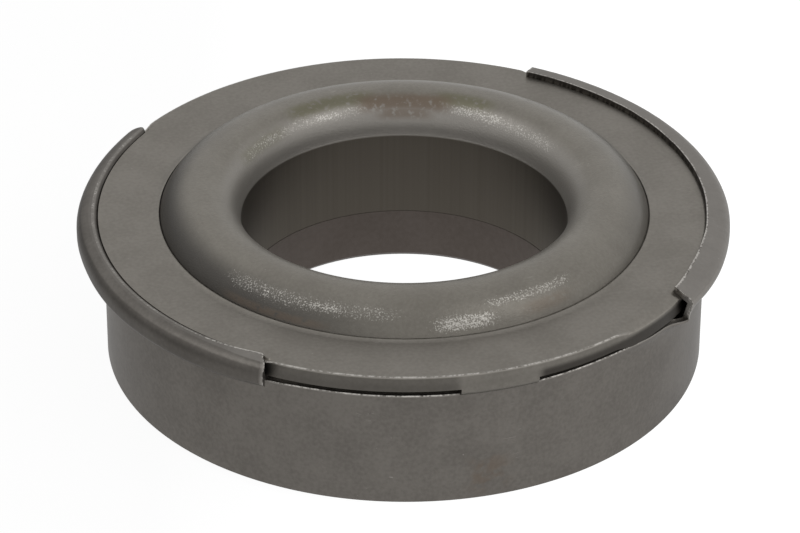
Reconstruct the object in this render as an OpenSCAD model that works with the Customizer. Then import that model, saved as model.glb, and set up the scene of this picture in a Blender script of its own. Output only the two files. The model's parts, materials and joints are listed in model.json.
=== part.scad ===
// Clutch release bearing: a thrust ball bearing in a pressed steel housing. The domed nose ring turns
// with the clutch fingers; the housing, its cover plate and the fixed race stay still on the release sleeve.
// The seat face of the fixed race lies on z = 0, the axis is Z, and the nose points up. The housing's two
// lips lie on the X axis, and the open gaps between them on the Y axis.

/* [Fixed race] */
// Bore of the fixed race, which is pressed on the release sleeve
bore_d = 50; // [46:0.5:54]
// Radial wall of the collar beside the bore
collar_w = 2.6; // [2:0.1:3.2]
// Thickness of the race under its groove
race_floor = 3.8; // [3:0.1:6]
// Bevel at the mouth of the bore
bore_bevel = 0.8; // [0.3:0.1:1.2]
// How far the seat face stays inside the race's rim
seat_inset = 2.6; // [2:0.1:4]

/* [Balls and cage] */
// Diameter of a ball
ball_d = 9.5; // [8.5:0.1:10]
// Running gap between a ball and its grooves
ball_gap = 0.15; // [0.12:0.01:0.2]
// Gap between a ball and its pocket
pocket_gap = 0.2; // [0.15:0.01:0.3]
// Thickness of the cage
cage_t = 3; // [2:0.1:4]
// Land of the cage between its pockets and its rim
cage_land = 1.25; // [0.8:0.05:1.6]
// Gap between the cage and the collars beside the bore
cage_gap = 0.8; // [0.5:0.1:1.2]
// Gap between the cage's rim and the skirt
cage_rim_gap = 0.6; // [0.4:0.1:1.2]
// Gap between the cage and the faces of the races
face_gap = 0.5; // [0.35:0.05:1]

/* [Nose ring] */
// How much wider the nose ring's bore is than the race's
nose_bore_extra = 1; // [0.8:0.1:2]
// Radius of the dome towards the bore
dome_in_r = 4.9; // [4.5:0.1:6]
// Radius of the dome towards the cover
dome_out_r = 6.6; // [5.5:0.1:7]
// Flat left on the crest between them
crest_w = 0.2; // [0.1:0.1:1]
// Height of the dome above the cover plate
nose_rise = 4.3; // [3.8:0.1:6]
// Thickness of the ring's flange above its groove
flange_floor = 5.9; // [4:0.1:8]
// Open seam between the nose ring and the race inside the bore
seam_gap = 0.25; // [0.2:0.05:0.6]
// Gap between the flange's rim and the skirt
flange_gap = 0.8; // [0.5:0.1:1.2]

/* [Cover plate] */
// Thickness of the cover plate
cover_t = 2.5; // [2:0.1:3]
// Gap between the plate's rim and the wall of a lip
cover_clear = 1.3; // [0.9:0.1:1.6]
// Width of the plate between its hole and its rim
plate_w = 10.3; // [8:0.1:12]
// Gap between the plate's hole and the neck of the nose ring
neck_gap = 0.3; // [0.25:0.05:0.8]
// Height of the bead round the plate's hole
bead_h = 0.35; // [0.2:0.05:0.6]
// Width of that bead
bead_w = 0.7; // [0.5:0.05:1.2]
// Angle that one foot of the plate spans
foot_arc = 14.2; // [8:0.2:30]
// Bevel on the plate's upper rim
rim_bevel = 0.2; // [0.1:0.05:0.3]
// Gap between a lip and the rim that it has crushed
crush_gap = 0.15; // [0.1:0.05:0.3]
// Angle by which the crushed rim runs on past each end of a lip
crush_run = 1.5; // [0.5:0.5:4]

/* [Grease seal] */
// Thickness of the seal
seal_t = 1.5; // [1:0.1:2.5]
// Radial width of the seal
seal_w = 5.5; // [4:0.1:6]
// Gap between the seal's lip and the neck
seal_gap = 0.3; // [0.2:0.05:0.6]
// Gap between the seal and the flange
flange_play = 0.6; // [0.4:0.1:1.2]

/* [Housing] */
// Outer diameter of the skirt
skirt_d = 92; // [90:0.5:98]
// Thickness of the sheet
sheet_t = 0.9; // [0.7:0.05:1.1]
// Height of the skirt's foot above the seat face
foot_z = 1.2; // [0.8:0.1:2]
// Radius of the flare from the skirt into a lip
flare_r = 1.4; // [1.2:0.1:2]
// How far a lip stands out from the skirt
lip_out = 4; // [3.8:0.1:5]
// Angle that one lip spans
lip_arc = 95.2; // [70:0.2:120]
// How far a lip reaches over the cover plate
lip_grip = 1.4; // [0.9:0.1:2.2]
// Outer radius of the bend at the foot of a lip
lip_foot_r = 1.3; // [1.2:0.1:1.8]
// Outer radius of the bend from the wall of a lip into its sloping top
lip_top_r = 2; // [1.4:0.1:2.4]
// Slope of a lip's top
lip_slope = 16; // [10:1:40]
// Gap between the floor of a lip and the plate's rim
lip_floor_gap = 0.2; // [0.15:0.05:0.4]
// Height of the open slits under the plate's rim
slit_h = 1.8; // [1.4:0.1:2.2]

/* [Hidden] */
$fn = 96;
ball_count = 20;
bore_r = bore_d / 2;
ball_r = ball_d / 2;
groove_r = ball_r + ball_gap;
pocket_r = ball_r + pocket_gap;

// Radii beside the bore
collar_r = bore_r + collar_w;
cage_in_r = collar_r + cage_gap;
nose_bore_r = bore_r + nose_bore_extra / 2;

// Radii from the skirt inwards and outwards
skirt_r = skirt_d / 2;
skirt_in_r = skirt_r - sheet_t;
cage_out_r = skirt_in_r - cage_rim_gap;
ball_circle_r = cage_out_r - cage_land - pocket_r;
flange_r = skirt_in_r - flange_gap;
seat_r = skirt_in_r - seat_inset;
flare_centre_r = skirt_r + flare_r;
lip_r = skirt_r + lip_out;
cover_r = lip_r - sheet_t - cover_clear;
cover_hole_r = cover_r - plate_w;
neck_r = cover_hole_r - neck_gap;
seal_in_r = neck_r + seal_gap;
tip_r = cover_r - lip_grip;

// The two rounds of the dome, limited by the wall of the nose ring
dome_fit = min(1, (neck_r - nose_bore_r - crest_w) / (dome_in_r + dome_out_r));
dome_in = dome_in_r * dome_fit;
dome_out = dome_out_r * dome_fit;
crest_in_r = nose_bore_r + dome_in;
crest_out_r = neck_r - dome_out;

// Heights, from the seat face upwards
ball_z = race_floor + groove_r;
race_face_z = ball_z - cage_t / 2 - face_gap;
nose_face_z = ball_z + cage_t / 2 + face_gap;
collar_z = ball_z - seam_gap / 2;
nose_foot_z = ball_z + seam_gap / 2;
flange_z = ball_z + groove_r + flange_floor;
seal_z = flange_z + flange_play;
cover_z = seal_z + seal_t;
cover_top_z = cover_z + cover_t;
nose_top_z = cover_top_z + nose_rise;
lip_floor_z = cover_z - lip_floor_gap - sheet_t;
lip_top_z = cover_top_z + sheet_t / cos(lip_slope);
slit_z = cover_z - slit_h;
flare_z = lip_floor_z - flare_r;
wall_foot_z = lip_floor_z + lip_foot_r;

// The bend at the top of a lip, limited by the wall under it
bend_reach = tan((90 - lip_slope) / 2);
lip_corner_z = lip_top_z - (lip_r - tip_r) * tan(lip_slope);
lip_bend_r = min(lip_top_r, (lip_corner_z - wall_foot_z) / bend_reach);
wall_top_z = lip_corner_z - lip_bend_r * bend_reach;
lip_bend_centre = [lip_r - lip_bend_r, wall_top_z];
slope_way = [sin(lip_slope), cos(lip_slope)];
// How steeply the crushed rim of the plate falls away under a lip
rim_fall = tan(lip_slope) + crush_gap / lip_grip;

// Radii of the flared sheet where the slits cut it
slit_out_r = flare_centre_r - sqrt(pow(flare_r, 2) - pow(slit_z - flare_z, 2));
slit_in_r = flare_centre_r - sqrt(pow(flare_r + sheet_t, 2) - pow(slit_z - flare_z, 2));
// Reach of a cutting wedge past the lips
wedge_r = 2 * lip_r;

function ball_angle(i) = (i - 1) * 360 / ball_count;
function ball_name(i) = str("ball_", i < 10 ? "0" : "", i);

// A rectangle in the section between two radii and two heights
module band(r0, r1, z0, z1) {
    polygon([[r0, z0], [r1, z0], [r1, z1], [r0, z1]]);
}

// A bend of the sheet in the section, between two directions at most a right angle apart
module bend(r_in, r_out, from, to) {
    reach = 2 * r_out;
    intersection() {
        difference() {
            circle(r_out);
            circle(r_in);
        }
        polygon([[0, 0], reach * [cos(from), sin(from)], reach * [cos(to), sin(to)]]);
    }
}

// A quarter of a disc in the section
module quarter_disc(r, turn) {
    rotate(turn) intersection() {
        circle(r);
        square(r);
    }
}

// The sheet of the housing, cut through a lip
module lip_section() {
    band(skirt_in_r, skirt_r, foot_z, flare_z);
    translate([flare_centre_r, flare_z]) bend(flare_r, flare_r + sheet_t, 90, 180);
    band(flare_centre_r, lip_r - lip_foot_r, lip_floor_z, lip_floor_z + sheet_t);
    translate([lip_r - lip_foot_r, wall_foot_z]) bend(lip_foot_r - sheet_t, lip_foot_r, -90, 0);
    band(lip_r - sheet_t, lip_r, wall_foot_z, wall_top_z);
    translate(lip_bend_centre) bend(lip_bend_r - sheet_t, lip_bend_r, 0, 90 - lip_slope);
    polygon([
        [tip_r, cover_top_z],
        lip_bend_centre + (lip_bend_r - sheet_t) * slope_way,
        lip_bend_centre + lip_bend_r * slope_way,
        [tip_r, lip_top_z]
    ]);
}

// A wedge round the axis that is centred on +Y
module gap_wedge(arc) {
    half = arc / 2;
    polygon([[0, 0], wedge_r * [sin(half), cos(half)], wedge_r * [-sin(half), cos(half)]]);
}

// Pressed housing: a plain skirt whose upper edge is curled over the cover plate as two lips
module housing() {
    color("dimgray") difference() {
        rotate_extrude() lip_section();
        for (side = [0, 180])
            rotate(side) translate([0, 0, slit_z]) linear_extrude(nose_top_z) gap_wedge(180 - lip_arc);
    }
}

// The flat plate with its bevelled rim and the bead round its hole
module plate_section() {
    polygon([
        [cover_hole_r, cover_z],
        [cover_r, cover_z],
        [cover_r, cover_top_z - rim_bevel],
        [cover_r - rim_bevel, cover_top_z],
        [cover_hole_r, cover_top_z]
    ]);
    bead_r = bead_w / 2;
    band(cover_hole_r, cover_hole_r + bead_w, cover_z, cover_top_z + bead_h - bead_r);
    translate([cover_hole_r + bead_r, cover_top_z + bead_h - bead_r]) circle(bead_r);
}

// What a lip has pushed off the plate's rim
module crushed_section() {
    polygon([
        [tip_r, cover_top_z],
        [lip_r, cover_top_z - (lip_r - tip_r) * rim_fall],
        [lip_r, lip_top_z],
        [tip_r, lip_top_z]
    ]);
}

// A foot of the plate, from the slit's lower edge into the plate, tapered to meet the skirt
module foot_section() {
    polygon([
        [slit_in_r, slit_z],
        [slit_out_r, slit_z],
        [cover_r, cover_z],
        [cover_r, cover_z + cover_t / 2],
        [slit_in_r, cover_z + cover_t / 2]
    ]);
}

// Cover plate: carried on the housing's cut edge by two feet and held down by the lips
module cover_plate() {
    crush_arc = lip_arc + 2 * crush_run;
    color("gray") {
        difference() {
            rotate_extrude() plate_section();
            for (side = [0, 180])
                rotate(side - crush_arc / 2) rotate_extrude(angle = crush_arc) crushed_section();
        }
        for (side = [90, 270])
            rotate(side - foot_arc / 2) rotate_extrude(angle = foot_arc) foot_section();
    }
}

// Rubber grease seal under the cover plate, close round the neck of the nose ring
module grease_seal() {
    color("black") rotate_extrude() band(seal_in_r, seal_in_r + seal_w, seal_z, cover_z);
}

// The groove in which the balls run
module ball_groove() {
    translate([ball_circle_r, ball_z]) circle(groove_r);
}

// Nose ring: the domed thrust face, its neck, and the flange with the upper groove
module nose_ring() {
    color("slategray") rotate_extrude() difference() {
        union() {
            translate([crest_in_r, nose_top_z - dome_in]) quarter_disc(dome_in, 90);
            translate([crest_out_r, nose_top_z - dome_out]) quarter_disc(dome_out, 0);
            band(nose_bore_r, crest_in_r, nose_face_z, nose_top_z - dome_in);
            band(crest_in_r, crest_out_r, nose_face_z, nose_top_z);
            band(crest_out_r, neck_r, nose_face_z, nose_top_z - dome_out);
            band(nose_bore_r, collar_r, nose_foot_z, flange_z);
            band(nose_bore_r, flange_r, nose_face_z, flange_z);
        }
        ball_groove();
    }
}

// Fixed race: pressed into the skirt, with the seat face below and the lower groove above
module fixed_race() {
    color("darkgray") rotate_extrude() difference() {
        polygon([
            [bore_r + bore_bevel, 0],
            [seat_r, 0],
            [seat_r, foot_z],
            [skirt_in_r, foot_z],
            [skirt_in_r, race_face_z],
            [collar_r, race_face_z],
            [collar_r, collar_z],
            [bore_r, collar_z],
            [bore_r, bore_bevel]
        ]);
        ball_groove();
    }
}

// Cage that keeps the balls apart
module ball_cage() {
    color("khaki") translate([0, 0, ball_z - cage_t / 2]) difference() {
        linear_extrude(cage_t) difference() {
            circle(cage_out_r);
            circle(cage_in_r);
        }
        for (i = [1:ball_count])
            rotate(ball_angle(i)) translate([ball_circle_r, 0, -cage_t]) cylinder(r = pocket_r, h = 3 * cage_t);
    }
}

// One of the balls, which roll between the two grooves
module ball(i) {
    color("silver") rotate(ball_angle(i)) translate([ball_circle_r, 0, ball_z]) sphere(ball_r);
}

housing();
cover_plate();
grease_seal();
nose_ring();
fixed_race();
ball_cage();
for (i = [1:ball_count]) ball(i);
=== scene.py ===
"""Looks of a clutch release bearing: pressed housing with two crimped lips, cover plate, domed nose ring."""
import functools
import json
import math

import bmesh
import bpy
from mathutils import Matrix, Vector, noise


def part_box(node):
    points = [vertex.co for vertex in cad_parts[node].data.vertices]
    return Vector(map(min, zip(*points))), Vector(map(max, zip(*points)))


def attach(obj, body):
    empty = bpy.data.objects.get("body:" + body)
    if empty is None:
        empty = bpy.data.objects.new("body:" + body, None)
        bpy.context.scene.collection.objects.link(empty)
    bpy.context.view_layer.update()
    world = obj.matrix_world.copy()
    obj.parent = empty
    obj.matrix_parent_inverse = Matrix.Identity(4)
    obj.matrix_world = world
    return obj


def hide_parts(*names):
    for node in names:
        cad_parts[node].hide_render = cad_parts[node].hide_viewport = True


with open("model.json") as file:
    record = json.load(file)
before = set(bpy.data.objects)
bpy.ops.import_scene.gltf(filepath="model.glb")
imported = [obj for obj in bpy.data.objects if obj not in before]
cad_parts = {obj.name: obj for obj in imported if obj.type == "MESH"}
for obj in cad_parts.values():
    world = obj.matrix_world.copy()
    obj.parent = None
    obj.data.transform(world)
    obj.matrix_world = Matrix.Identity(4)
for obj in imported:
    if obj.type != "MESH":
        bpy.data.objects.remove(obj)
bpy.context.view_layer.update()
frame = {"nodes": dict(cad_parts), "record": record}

MM = 0.001
TURN = 2 * math.pi


# Sizes in millimetres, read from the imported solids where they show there
def corner_mm(node_name):
    """Lowest and highest corner of a node, in millimetres."""
    low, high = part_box(node_name)
    return low / MM, high / MM


def bore_radius(mount_name):
    """Radius of a bore that the record states."""
    mounts = {mount["name"]: mount for mount in frame["record"]["mounts"]}
    return mounts[mount_name]["dims"]["r_mm"]


housing_low, housing_high = corner_mm("housing")
plate_low, plate_high = corner_mm("cover_plate")
_, nose_high = corner_mm("nose_ring")
_, race_high = corner_mm("fixed_race")
_, seal_high = corner_mm("grease_seal")

LIP_R = housing_high.x
SKIRT_IN_R = race_high.x
COVER_R = plate_high.x
FLANGE_R = nose_high.x
RACE_BORE_R = bore_radius("sleeve_bore")
NOSE_BORE_R = bore_radius("nose_bore")
FOOT_Z = housing_low.z
SLIT_Z = plate_low.z
COVER_Z = seal_high.z
BEAD_TOP_Z = plate_high.z
NOSE_TOP_Z = nose_high.z
COLLAR_Z = race_high.z

# Sizes that the part's source also has
SHEET = 0.9
FLARE_R = 1.4
LIP_FLOOR_GAP = 0.2
LIP_ARC = math.radians(95.2)
FOOT_ARC = math.radians(14.2)
PLATE_W = 10.3
NECK_GAP = 0.3
BEAD_H = 0.35
RIM_BEVEL = 0.2
CREST_R = 30.4
CREST_W = 0.2
COLLAR_W = 2.6
RACE_FACE_Z = 6.7
NOSE_FACE_Z = 10.7
FLANGE_Z = 19.5
SEAT_INSET = 2.6
BORE_BEVEL = 0.8
BALL_CIRCLE_R = 38.3
BALL_Z = 8.7
GROOVE_R = 4.9

# How the photographed bearing looks: a low bead, an easy dome, closed seams, and a bore turned up to a height
LOW_BEAD_W = 0.4
LOW_BEAD_H = 0.06
DOME_R = 7.45
INNER_DROP = 6.0
TURNED_Z = 22.5
BORE_SKIN = 0.45
NECK_SKIN = 0.28
SEAM_GAP = 0.01

SKIRT_R = SKIRT_IN_R + SHEET
COVER_TOP_Z = BEAD_TOP_Z - BEAD_H
COVER_HOLE_R = COVER_R - PLATE_W
NECK_R = COVER_HOLE_R - NECK_GAP
LIP_FLOOR_Z = COVER_Z - LIP_FLOOR_GAP - SHEET

# Angles are counted from +X; the lips are centred on +X and -X, and the photograph shows the gap at -Y
HALF_LIP = LIP_ARC / 2
RIGHT_FRONT = -HALF_LIP
RIGHT_BACK = HALF_LIP
LEFT_BACK = math.pi - HALF_LIP
LEFT_FRONT = math.pi + HALF_LIP
LIP_SPANS = [(RIGHT_FRONT, RIGHT_BACK), (LEFT_BACK, LEFT_FRONT)]
GAP_SPANS = [(RIGHT_BACK, LEFT_BACK), (LEFT_FRONT, TURN + RIGHT_FRONT)]
FOOT_SPANS = [(turn - FOOT_ARC / 2, turn + FOOT_ARC / 2) for turn in (math.pi / 2, 3 * math.pi / 2)]
BARE_SPANS = [(-math.pi / 2 + FOOT_ARC / 2, math.pi / 2 - FOOT_ARC / 2),
              (math.pi / 2 + FOOT_ARC / 2, 3 * math.pi / 2 - FOOT_ARC / 2)]
FINE_COLUMN = math.radians(0.4)
RING_COLUMN = math.radians(0.6)


def columns(start, end, step):
    """Evenly spaced angles from start to end, about a step apart."""
    count = max(1, round(abs(end - start) / step))
    return [start + (end - start) * i / count for i in range(count + 1)]


def apart(angle, place):
    """How many degrees an angle lies past a place, from -180 to 180."""
    return math.degrees((angle - place + math.pi) % TURN - math.pi)


def fading(distance, reach):
    """1 at no distance, falling away smoothly over a reach to either side."""
    return math.exp(-(distance / reach) ** 2)


def smooth(low, high, value):
    """0 at low and 1 at high, with a smooth change between them."""
    share = min(1.0, max(0.0, (value - low) / (high - low)))
    return share * share * (3 - 2 * share)


# Sections are lists of (radius, height, wear): 1 is bare bright metal, 0 the coat and -1 the darkest colour;
# values below 0 are painted shade, and on the plate's edge partly just a darker edge
def line(start, end, steps, wear=0.0):
    return [(start[0] + (end[0] - start[0]) * i / steps, start[1] + (end[1] - start[1]) * i / steps, wear)
            for i in range(steps + 1)]


def on_arc(centre, radius, degrees):
    turn = math.radians(degrees)
    return centre[0] + radius * math.cos(turn), centre[1] + radius * math.sin(turn)


def arc(centre, radius, start_deg, end_deg, steps, wear=0.0):
    turns = [start_deg + (end_deg - start_deg) * i / steps for i in range(steps + 1)]
    return [(*on_arc(centre, radius, turn), wear) for turn in turns]


def chain(*stretches):
    """Join stretches of a section; where two meet, the more worn of their end points stays."""
    joined = list(stretches[0])
    for stretch in stretches[1:]:
        if stretch[0][2] > joined[-1][2]:
            joined[-1] = stretch[0]
        joined += stretch[1:]
    return joined


SHARP = math.radians(38)
WELD = 0.002 * MM


class Pressing:
    """Collects strips of faces round the axis and welds them into one closed mesh."""

    def __init__(self, skew=lambda angle, radius: 0.0):
        self.mesh = bmesh.new()
        self.wear = self.mesh.verts.layers.float.new("edge_wear")
        self.skew = skew

    def point(self, angle, radius, height, wear):
        angle += self.skew(angle, radius)
        place = (radius * math.cos(angle) * MM, radius * math.sin(angle) * MM, height * MM)
        vert = self.mesh.verts.new(place)
        vert[self.wear] = wear
        return vert

    def grid(self, rows):
        for row, after in zip(rows, rows[1:]):
            for i in range(len(row) - 1):
                self.mesh.faces.new((row[i], after[i], after[i + 1], row[i + 1]))

    def strip(self, angles, section_at):
        """Faces swept round these angles along the section that stands at each of them."""
        self.grid([[self.point(angle, *spot) for spot in section_at(angle)] for angle in angles])

    def cap(self, angle, side, other_side):
        """Faces in the plane at one angle between two stretches of equal count."""
        self.grid([[self.point(angle, *spot) for spot in stretch] for stretch in (side, other_side)])

    def finish(self, name, body, slot, *nodes):
        """Weld, keep the sharp edges crisp, and hand the piece over to its body."""
        bmesh.ops.remove_doubles(self.mesh, verts=self.mesh.verts, dist=WELD)
        bmesh.ops.dissolve_degenerate(self.mesh, edges=self.mesh.edges, dist=WELD / 2)
        bmesh.ops.recalc_face_normals(self.mesh, faces=self.mesh.faces)
        for edge in self.mesh.edges:
            edge.smooth = len(edge.link_faces) == 2 and edge.calc_face_angle(0) < SHARP
        for face in self.mesh.faces:
            face.smooth = True
        data = bpy.data.meshes.new(name)
        self.mesh.to_mesh(data)
        self.mesh.free()
        piece = bpy.data.objects.new(name, data)
        bpy.context.scene.collection.objects.link(piece)
        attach(piece, body)
        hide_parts(*nodes)
        return piece


def ripple(angle, scale, seed):
    """Smooth noise round the axis, from -1 to 1."""
    return noise.noise(Vector((math.cos(angle) * scale, math.sin(angle) * scale, seed)))


def jagged(angle, seed):
    """Torn outline of a sheared edge, from -1 to 1."""
    return 0.6 * ripple(angle, 45, seed) + 0.4 * ripple(angle, 140, seed + 2.3)


# Pressed housing: how one crimped lip lies at an angle
LIP_BEND_R = 2.2
ROLLED_SWELL = 0.14
ROLLED_FOOT_R = 0.95
ROLLED_TIP_R = 46.9
ROLLED_TIP_Z = 24.6
ROLLED_TIP_ROUND = 0.82
ROLLED_CORNER = 0.3
FOLDED_INSET = 0.06
FOLDED_FOOT_R = 1.75
FOLDED_TIP_R = 46.15
FOLDED_TIP_Z = 24.96
FOLDED_TIP_ROUND = 0.1


class Lip:
    """Where a lip's wall and tip lie at an angle, and how its top slopes and bends."""

    def __init__(self, angle):
        self.left = math.cos(angle) < 0
        middle = math.pi if self.left else 0.0
        self.to_end = (HALF_LIP - abs(math.radians(apart(angle, middle)))) * COVER_R
        if self.left:
            self.rolled(angle)
        else:
            self.folded(angle)
        run = (self.wall_r - self.bend_r - self.tip_r) * math.sin(self.slope)
        self.bend = (self.wall_r - self.bend_r, self.tip_z - (self.bend_r + run) / math.cos(self.slope))

    def rolled(self, angle):
        """The left lip is rolled round, and its blunt tip has sunk into the plate."""
        front = fading(apart(angle, LEFT_FRONT), 7)
        past_middle = apart(angle, math.pi)
        self.wall_r = LIP_R + ROLLED_SWELL * (1 - fading(past_middle, 8)) * smooth(-32, -14, past_middle)
        self.foot_r = ROLLED_FOOT_R
        self.tip_r = ROLLED_TIP_R + 0.06 * ripple(angle, 9, 3.1) + self.rounded_end(ROLLED_CORNER)
        self.tip_z = ROLLED_TIP_Z + 0.04 * ripple(angle, 5, 5.7) + 0.15 * front
        self.slope = math.radians(6 + 6 * front)
        self.bend_r = LIP_BEND_R - 0.3 * front
        self.tip_round = ROLLED_TIP_ROUND - 0.6 * front

    def folded(self, angle):
        """The right lip is folded over flat, and steeper towards its front end, where its wall draws in."""
        past_end = apart(angle, RIGHT_FRONT)
        front = fading(past_end, 24)
        end = fading(past_end, 7)
        drawn_in = 0.12 * smooth(-12, -24, apart(angle, 0))
        self.wall_r = LIP_R - FOLDED_INSET - drawn_in - 0.25 * fading(past_end, 6)
        self.foot_r = FOLDED_FOOT_R
        self.tip_r = FOLDED_TIP_R + 0.08 * ripple(angle, 8, 3.1) + 0.05 * jagged(angle, 1.7) + 0.35 * end
        self.tip_z = FOLDED_TIP_Z + 0.04 * ripple(angle, 5, 5.7) + 0.03 * jagged(angle, 9.2) - 0.3 * end
        self.slope = math.radians(8 + 20 * front)
        self.bend_r = LIP_BEND_R - 0.6 * front - 0.55 * fading(past_end, 3)
        self.tip_round = FOLDED_TIP_ROUND

    def rounded_end(self, radius):
        """How far the tip draws back where the lip's corner is rounded."""
        inside = max(0.0, 1 - max(0.0, self.to_end) / max(radius, 0.01))
        return radius * (1 - math.sqrt(max(0.0, 1 - inside ** 2)))

    def underside(self, radius):
        """Height of the sheet's lower side over a radius inside the wall."""
        inner_bend = self.bend_r - SHEET
        if radius < self.bend[0] + inner_bend * math.sin(self.slope):
            return self.tip_z - SHEET / math.cos(self.slope) - (radius - self.tip_r) * math.tan(self.slope)
        reach = min(radius - self.bend[0], inner_bend)
        return self.bend[1] + math.sqrt(inner_bend ** 2 - reach ** 2)


LIP_ENDS = (RIGHT_FRONT, RIGHT_BACK, LEFT_BACK, LEFT_FRONT)


@functools.lru_cache(maxsize=None)
def nearest_lip(angle):
    """The lip at an angle, or the nearest end of one, and how many degrees past that end the angle is."""
    middle = math.pi if math.cos(angle) < 0 else 0.0
    if abs(apart(angle, middle)) <= math.degrees(HALF_LIP) + 1e-6:
        return Lip(angle), 0.0
    end = min(LIP_ENDS, key=lambda place: abs(apart(angle, place)))
    return Lip(end), abs(apart(angle, end))


# How the sheet rises from the skirt to the wall of a lip
SKIRT_SKIN = 0.08
SKIRT_OUT_R = SKIRT_R + SKIRT_SKIN
RISE_Z = 17.0
SLACK_Z = 19.3
SLACK_WALL = 1.2
HOOK_LEG_R = 49.05
SHARP_FLARE_R = FLARE_R - SKIRT_SKIN
SHARP_FLARE = (SKIRT_R + FLARE_R, LIP_FLOOR_Z - SHARP_FLARE_R)


def slackness(angle):
    """From 0, a tight flare under the lip, to 1, a slack one, as beside the right lip's front end."""
    past = -apart(angle, RIGHT_FRONT)
    if math.cos(angle) < 0:
        near = 0.0
    elif past > 0:
        near = 0.95 / (1 + math.exp((past - 13) / 3))
    else:
        near = 0.12 + 0.83 * fading(past, 7)
    other_ends = sum(0.3 * fading(apart(angle, end), 5) for end in (LEFT_FRONT, LEFT_BACK, RIGHT_BACK))
    return min(1.0, near + other_ends)


def between(start, end, share):
    """The place at this share of the way from start to end."""
    return start[0] + (end[0] - start[0]) * share, start[1] + (end[1] - start[1]) * share


def tight_rise(lip, t):
    """Skirt, flare, floor, foot bend and wall of a sharply pressed lip."""
    foot = (lip.wall_r - lip.foot_r, LIP_FLOOR_Z + lip.foot_r)
    if t < 0.2:
        return between((SKIRT_OUT_R, RISE_Z), (SKIRT_OUT_R, SHARP_FLARE[1]), t / 0.2)
    if t < 0.5:
        return on_arc(SHARP_FLARE, SHARP_FLARE_R, 180 - 90 * (t - 0.2) / 0.3)
    if t < 0.62:
        return between((SHARP_FLARE[0], LIP_FLOOR_Z), (foot[0], LIP_FLOOR_Z), (t - 0.5) / 0.12)
    if t < 0.88:
        return on_arc(foot, lip.foot_r, -90 + 90 * (t - 0.62) / 0.26)
    return between((lip.wall_r, foot[1]), (lip.wall_r, max(lip.bend[1], foot[1])), (t - 0.88) / 0.12)


def slack_rise(lip, t):
    """One easy curve from the skirt to the wall."""
    left = 1 - t
    shares = (left ** 3, 3 * left ** 2 * t, 3 * left * t ** 2, t ** 3)
    radii = (SKIRT_OUT_R, SKIRT_OUT_R, lip.wall_r, lip.wall_r)
    heights = (RISE_Z, SLACK_Z, lip.bend[1] - SLACK_WALL, lip.bend[1])
    return tuple(sum(share * at for share, at in zip(shares, places)) for places in (radii, heights))


def rise(angle, t):
    """Outer side of the sheet from the skirt, at t = 0, to the top of a lip's wall, at t = 1."""
    lip, _ = nearest_lip(angle)
    slack = slackness(angle)
    r, z = between(tight_rise(lip, t), slack_rise(lip, t), slack)
    hook = fading(apart(angle, RIGHT_FRONT), 2.5)
    leg_r = (SKIRT_OUT_R + (HOOK_LEG_R - SKIRT_OUT_R) * smooth(RISE_Z, SLIT_Z, z)
             + (lip.wall_r - HOOK_LEG_R) * smooth(SLIT_Z, lip.bend[1], z))
    return r + (leg_r - r) * hook, z


def rise_inside(angle, t):
    """Inner side of the same sheet."""
    before = rise(angle, max(0.0, t - 0.01))
    after = rise(angle, min(1.0, t + 0.01))
    run, climb = after[0] - before[0], after[1] - before[1]
    length = math.hypot(run, climb)
    r, z = rise(angle, t)
    return r - SHEET * climb / length, z + SHEET * run / length


def slit_height(angle):
    """Height of the housing's cut edge in the gaps."""
    return SLIT_Z - 0.2 * fading(apart(angle, RIGHT_FRONT), 10) + 0.03 * jagged(angle, 4.4)


@functools.lru_cache(maxsize=None)
def cut_share(angle):
    """Where the gap's cut crosses the rising sheet."""
    low, high = 0.0, 0.6
    for _ in range(24):
        middle = (low + high) / 2
        if rise(angle, middle)[1] < slit_height(angle):
            low = middle
        else:
            high = middle
    return low


CUT_ROUND = 0.12
BURR_DEPTH = 0.22
RISE_STEPS = 7
LIP_RISE_STEPS = 16


def skirt_outside(angle):
    """Outer side of the skirt, from its foot up to the cut, with the burr's depth below the edge."""
    heights = [FOOT_Z + CUT_ROUND + (RISE_Z - FOOT_Z - CUT_ROUND) * i / 8 for i in range(8)]
    cut = cut_share(angle)
    section = [(SKIRT_OUT_R, z, 0.0) for z in heights] + [
        (*rise(angle, cut * i / RISE_STEPS), 0.0) for i in range(RISE_STEPS)]
    r, z = rise(angle, cut)
    return section + [(r, z - BURR_DEPTH, 0.0), (r, z, burr_wear(angle))]


def burr_wear(angle):
    """Bright burr in the gaps, lost where the sheet flares towards the right lip's front end."""
    _, past = nearest_lip(angle)
    foot = max(smooth(8.5, 7, abs(apart(angle, middle))) for middle in (-math.pi / 2, math.pi / 2))
    return smooth(0, 1, past) * (1 - 0.7 * fading(apart(angle, RIGHT_FRONT), 14)) * (1 - 0.8 * foot)


def skirt_inside(angle):
    """Inner side of the skirt, from its foot up to the cut."""
    heights = [FOOT_Z + (RISE_Z - FOOT_Z) * i / 4 for i in range(4)]
    cut = cut_share(angle)
    return [(SKIRT_IN_R, z, 0.0) for z in heights] + [
        (*rise_inside(angle, cut * i / RISE_STEPS), 0.0) for i in range(RISE_STEPS + 1)]


def skirt_foot(angle):
    """The lower cut of the skirt, with its outer edge just broken."""
    broken = (SKIRT_OUT_R - CUT_ROUND, FOOT_Z, 0.3)
    return [(SKIRT_OUT_R, FOOT_Z + CUT_ROUND, 0.0), broken, (SKIRT_IN_R, FOOT_Z, 0.0)]


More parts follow.
